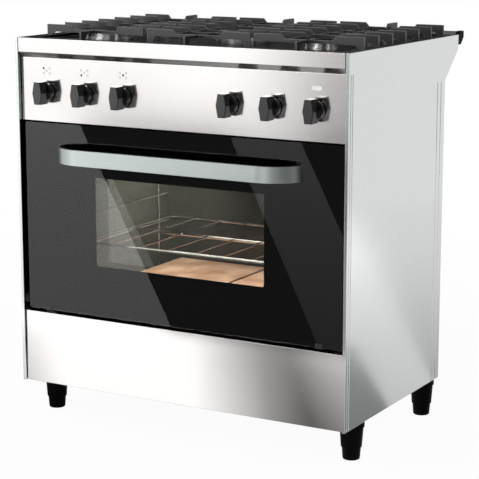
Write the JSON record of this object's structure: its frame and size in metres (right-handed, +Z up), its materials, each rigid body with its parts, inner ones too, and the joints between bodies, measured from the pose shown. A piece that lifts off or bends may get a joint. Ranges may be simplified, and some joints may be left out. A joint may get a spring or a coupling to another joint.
{
  "type": "gas stove",
  "caption": "Free-standing gas stove with a gas hob under split grates, turning knobs, a drop-down glass oven door and a storage flap on levelling feet.",
  "frame": {"origin": "on the floor under the middle of the overall outline, handle to rear rail", "axes": "+X to the viewer's right across the front, +Y from the front to the wall, +Z up"},
  "size_m": [0.8, 0.62, 0.868],
  "materials": {
    "stainless_steel": "fine brush along the width, satin",
    "silver_side_steel": "satin",
    "galvanised_steel": "matt spangle",
    "black_enamel": "glossy vitreous enamel",
    "matt_black_enamel": "matt vitreous enamel",
    "oven_enamel": "dark glossy enamel with fine specks",
    "mineral_wool": "loose fibre",
    "terracotta": "unglazed",
    "chromed_wire": "bright",
    "zinc_steel": "zinc plated",
    "outer_glass": "tempered, polished",
    "inner_glass": "tempered, polished",
    "black_frit": "black ceramic print on glass",
    "door_enamel": "satin black",
    "satin_aluminium": "satin anodised",
    "cast_aluminium": "die cast",
    "black_plastic": "fine grain",
    "knob_plastic": "satin",
    "brass_fitting": "machined",
    "white_ceramic": "glazed",
    "silicone_seal": "matt"
  },
  "bodies": {
    "cabinet": {"side_panel_left": "silver_side_steel", "side_panel_right": "silver_side_steel", "back_panel": "galvanised_steel", "back_panel_screws": "zinc_steel", "base_tray": "galvanised_steel", "burner_shield": "galvanised_steel", "front_frame": "black_enamel", "hob_front_rail": "stainless_steel", "control_panel": "stainless_steel", "flap_pins": "zinc_steel", "gas_manifold": "zinc_steel", "gas_taps": "cast_aluminium", "gas_pipes": "cast_aluminium", "oven_liner": "oven_enamel", "oven_insulation": "mineral_wool", "refractory_tiles": "terracotta", "rack_guides": "chromed_wire", "oven_burner": "zinc_steel", "door_seal": "silicone_seal", "hinge_brackets": "zinc_steel", "hinge_pins": "zinc_steel", "hob_top": "black_enamel", "burner_cups": "cast_aluminium", "burner_crowns": "cast_aluminium", "burner_caps": "black_enamel", "spark_electrodes": "white_ceramic", "thermocouples": "zinc_steel", "rear_rail": "stainless_steel", "rail_end_caps": "black_plastic", "foot_sleeves": "black_plastic"},
    "oven_door": {"door_glass": "outer_glass", "door_print": "black_frit", "door_frame": "door_enamel", "door_inner_glass": "inner_glass", "door_handle": "satin_aluminium", "handle_backing": "black_plastic", "handle_screws": "zinc_steel", "hinge_leaves": "zinc_steel", "door_clips": "door_enamel"},
    "flap": {"storage_flap": "stainless_steel"},
    "rack": {"oven_rack": "chromed_wire"},
    "tap_1": {"spindle_1": "brass_fitting"},
    "control_1": {"knob_1": "knob_plastic"},
    "tap_2": {"spindle_2": "brass_fitting"},
    "control_2": {"knob_2": "knob_plastic"},
    "tap_3": {"spindle_3": "brass_fitting"},
    "control_3": {"knob_3": "knob_plastic"},
    "tap_4": {"spindle_4": "brass_fitting"},
    "control_4": {"knob_4": "knob_plastic"},
    "tap_5": {"spindle_5": "brass_fitting"},
    "control_5": {"knob_5": "knob_plastic"},
    "tap_6": {"spindle_6": "brass_fitting"},
    "control_6": {"knob_6": "knob_plastic"},
    "left_grate": {"grate_left": "matt_black_enamel"},
    "centre_grate": {"grate_centre": "matt_black_enamel"},
    "right_grate": {"grate_right": "matt_black_enamel"},
    "front_left_foot": {"foot_front_left": "black_plastic"},
    "front_right_foot": {"foot_front_right": "black_plastic"},
    "rear_left_foot": {"foot_rear_left": "black_plastic"},
    "rear_right_foot": {"foot_rear_right": "black_plastic"}
  },
  "joints": [
    {"name": "oven_door_hinge", "type": "hinge", "parent": "cabinet", "child": "oven_door", "pos_m": [0, -0.241, 0.272], "axis": [1, 0, 0], "range_deg": [0, 90], "stiffness_Nm_per_rad": 6, "springref_deg": -17.19},
    {"name": "storage_flap_hinge", "type": "hinge", "parent": "cabinet", "child": "flap", "pos_m": [0, -0.251, 0.091], "axis": [1, 0, 0], "range_deg": [0, 90]},
    {"name": "oven_rack_slide", "type": "slide", "parent": "cabinet", "child": "rack", "axis": [0, -1, 0], "range_m": [0, 0.25]},
    {"name": "knob_1_turn", "type": "hinge", "parent": "cabinet", "child": "tap_1", "pos_m": [-0.325, -0.255, 0.73], "axis": [0, -1, 0], "range_deg": [0, 210]},
    {"name": "knob_1_push", "type": "slide", "parent": "tap_1", "child": "control_1", "axis": [0, 1, 0], "range_m": [0, 0.003], "stiffness_N_per_m": 800},
    {"name": "knob_2_turn", "type": "hinge", "parent": "cabinet", "child": "tap_2", "pos_m": [-0.227, -0.255, 0.73], "axis": [0, -1, 0], "range_deg": [0, 210]},
    {"name": "knob_2_push", "type": "slide", "parent": "tap_2", "child": "control_2", "axis": [0, 1, 0], "range_m": [0, 0.003], "stiffness_N_per_m": 800},
    {"name": "knob_3_turn", "type": "hinge", "parent": "cabinet", "child": "tap_3", "pos_m": [-0.129, -0.255, 0.73], "axis": [0, -1, 0], "range_deg": [0, 210]},
    {"name": "knob_3_push", "type": "slide", "parent": "tap_3", "child": "control_3", "axis": [0, 1, 0], "range_m": [0, 0.003], "stiffness_N_per_m": 800},
    {"name": "knob_4_turn", "type": "hinge", "parent": "cabinet", "child": "tap_4", "pos_m": [0.129, -0.255, 0.73], "axis": [0, -1, 0], "range_deg": [0, 210]},
    {"name": "knob_4_push", "type": "slide", "parent": "tap_4", "child": "control_4", "axis": [0, 1, 0], "range_m": [0, 0.003], "stiffness_N_per_m": 800},
    {"name": "knob_5_turn", "type": "hinge", "parent": "cabinet", "child": "tap_5", "pos_m": [0.227, -0.255, 0.73], "axis": [0, -1, 0], "range_deg": [0, 210]},
    {"name": "knob_5_push", "type": "slide", "parent": "tap_5", "child": "control_5", "axis": [0, 1, 0], "range_m": [0, 0.003], "stiffness_N_per_m": 800},
    {"name": "knob_6_turn", "type": "hinge", "parent": "cabinet", "child": "tap_6", "pos_m": [0.325, -0.255, 0.73], "axis": [0, -1, 0], "range_deg": [0, 270]},
    {"name": "knob_6_push", "type": "slide", "parent": "tap_6", "child": "control_6", "axis": [0, 1, 0], "range_m": [0, 0.003], "stiffness_N_per_m": 800},
    {"name": "grate_left_lift", "type": "slide", "parent": "cabinet", "child": "left_grate", "axis": [0, 0, 1], "range_m": [0, 0.12]},
    {"name": "grate_centre_lift", "type": "slide", "parent": "cabinet", "child": "centre_grate", "axis": [0, 0, 1], "range_m": [0, 0.12]},
    {"name": "grate_right_lift", "type": "slide", "parent": "cabinet", "child": "right_grate", "axis": [0, 0, 1], "range_m": [0, 0.12]},
    {"name": "foot_front_left_level", "type": "slide", "parent": "cabinet", "child": "front_left_foot", "axis": [0, 0, -1], "range_m": [0, 0.02]},
    {"name": "foot_front_right_level", "type": "slide", "parent": "cabinet", "child": "front_right_foot", "axis": [0, 0, -1], "range_m": [0, 0.02]},
    {"name": "foot_rear_left_level", "type": "slide", "parent": "cabinet", "child": "rear_left_foot", "axis": [0, 0, -1], "range_m": [0, 0.02]},
    {"name": "foot_rear_right_level", "type": "slide", "parent": "cabinet", "child": "rear_right_foot", "axis": [0, 0, -1], "range_m": [0, 0.02]}
  ],
  "couplings": [
    {"joint": "oven_rack_slide", "follows": "oven_door_hinge", "m_per_rad": 0.159}
  ]
}
